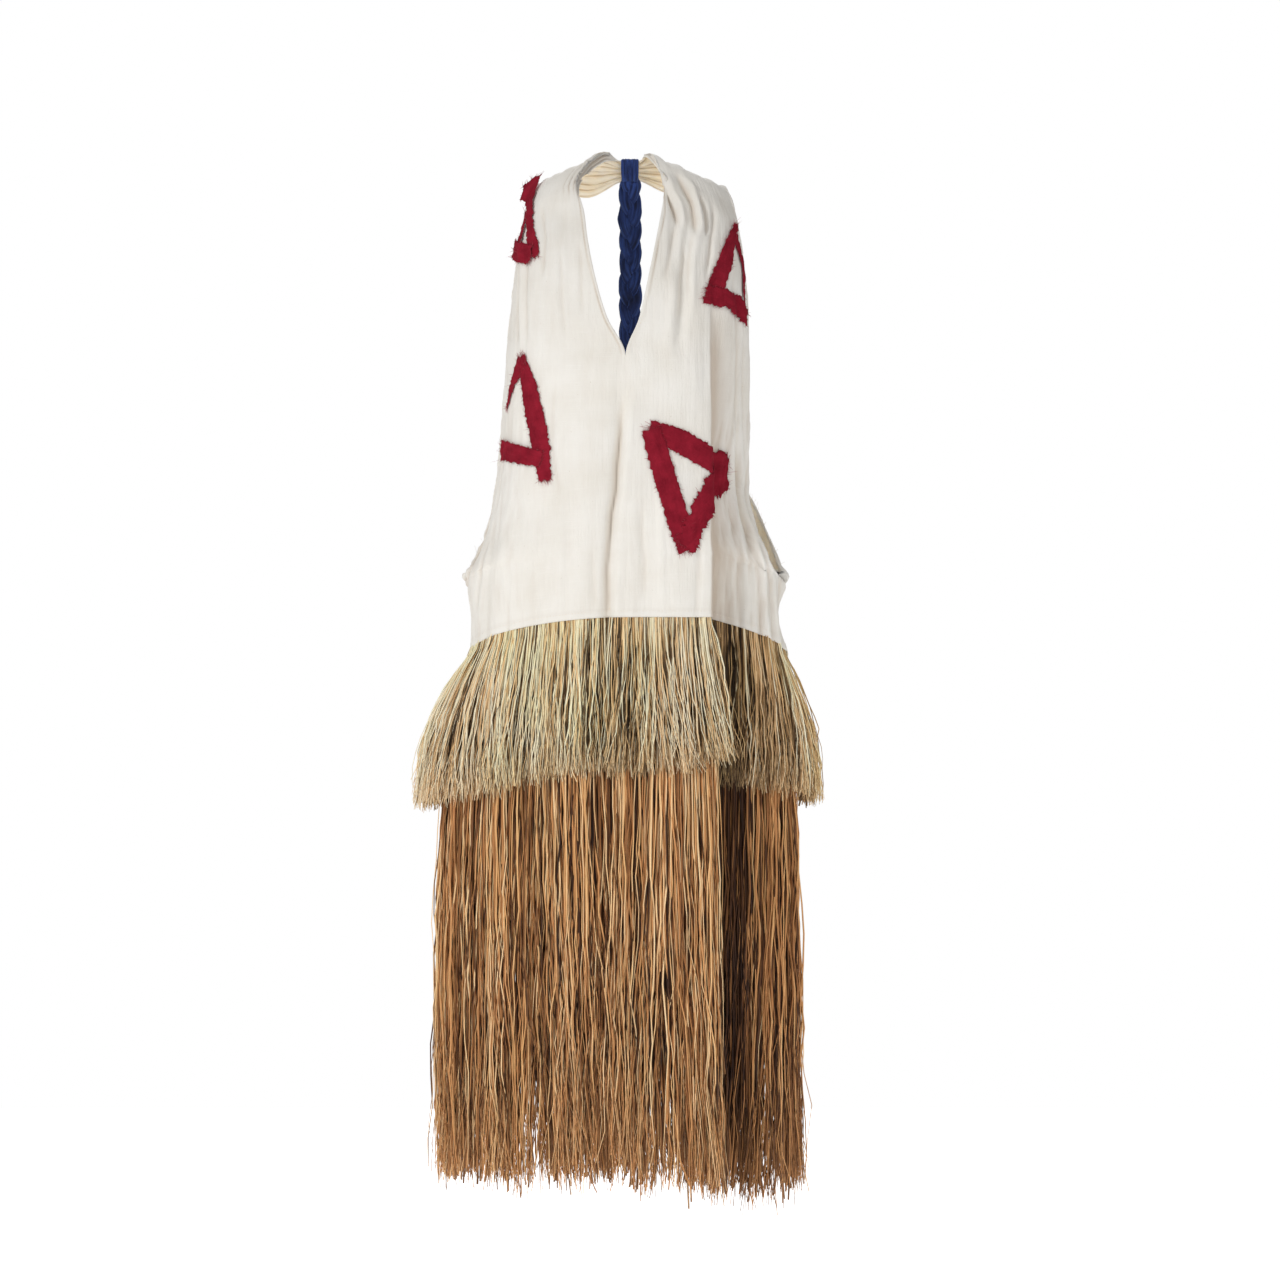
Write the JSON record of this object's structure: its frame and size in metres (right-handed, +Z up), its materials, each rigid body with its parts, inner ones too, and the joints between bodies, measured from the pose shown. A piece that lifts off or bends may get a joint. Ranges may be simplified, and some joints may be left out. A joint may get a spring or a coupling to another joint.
{
  "type": "raffia dress",
  "caption": "Sleeveless natural cotton dress gathered at the back of the neck, with a blue braid down the open back, torn red triangle patches and layered raffia fringe to the ankle.",
  "frame": {"origin": "the back of the neck, in the gathered straps that hang the dress on its wearer", "axes": "+Z up along the dress, -Y towards the front, +X to the right of someone who looks at the front"},
  "size_m": [0.5539, 0.358, 1.4332],
  "materials": {
    "cotton": "natural slubby plain weave",
    "blue_cloth": "soft navy braided cloth",
    "red_cloth": "torn crimson cotton",
    "pale_raffia": "dry pale straw raffia",
    "golden_raffia": "dry golden brown raffia"
  },
  "bodies": {
    "root": {"front": "cotton", "back": "cotton", "left_armhole_roll": "cotton", "right_armhole_roll": "cotton", "neck_loop": "blue_cloth", "braid_strand_1": "blue_cloth", "braid_strand_2": "blue_cloth", "braid_strand_3": "blue_cloth", "braid_end_wrap": "blue_cloth", "red_left_chest_1": "red_cloth", "red_left_chest_2": "red_cloth", "red_left_chest_3": "red_cloth", "red_right_chest_1": "red_cloth", "red_right_chest_2": "red_cloth", "red_right_chest_3": "red_cloth", "red_right_shoulder_1": "red_cloth", "red_right_shoulder_2": "red_cloth", "red_right_shoulder_3": "red_cloth", "red_left_shoulder_1": "red_cloth", "red_left_shoulder_2": "red_cloth", "red_left_shoulder_3": "red_cloth", "raffia_upper_left_side": "pale_raffia", "raffia_upper_left_front": "pale_raffia", "raffia_upper_middle_front": "pale_raffia", "raffia_upper_right_front": "pale_raffia", "raffia_upper_fold_front": "pale_raffia", "raffia_upper_right_side": "pale_raffia", "raffia_upper_right_back": "pale_raffia", "raffia_upper_middle_right_back": "pale_raffia", "raffia_upper_middle_left_back": "pale_raffia", "raffia_upper_left_back": "pale_raffia", "raffia_lower_left_side": "golden_raffia", "raffia_lower_left_front": "golden_raffia", "raffia_lower_middle_front": "golden_raffia", "raffia_lower_right_front": "golden_raffia", "raffia_lower_fold_front": "golden_raffia", "raffia_lower_right_side": "golden_raffia", "raffia_lower_right_back": "golden_raffia", "raffia_lower_middle_right_back": "golden_raffia", "raffia_lower_middle_left_back": "golden_raffia", "raffia_lower_left_back": "golden_raffia"}
  },
  "joints": []
}
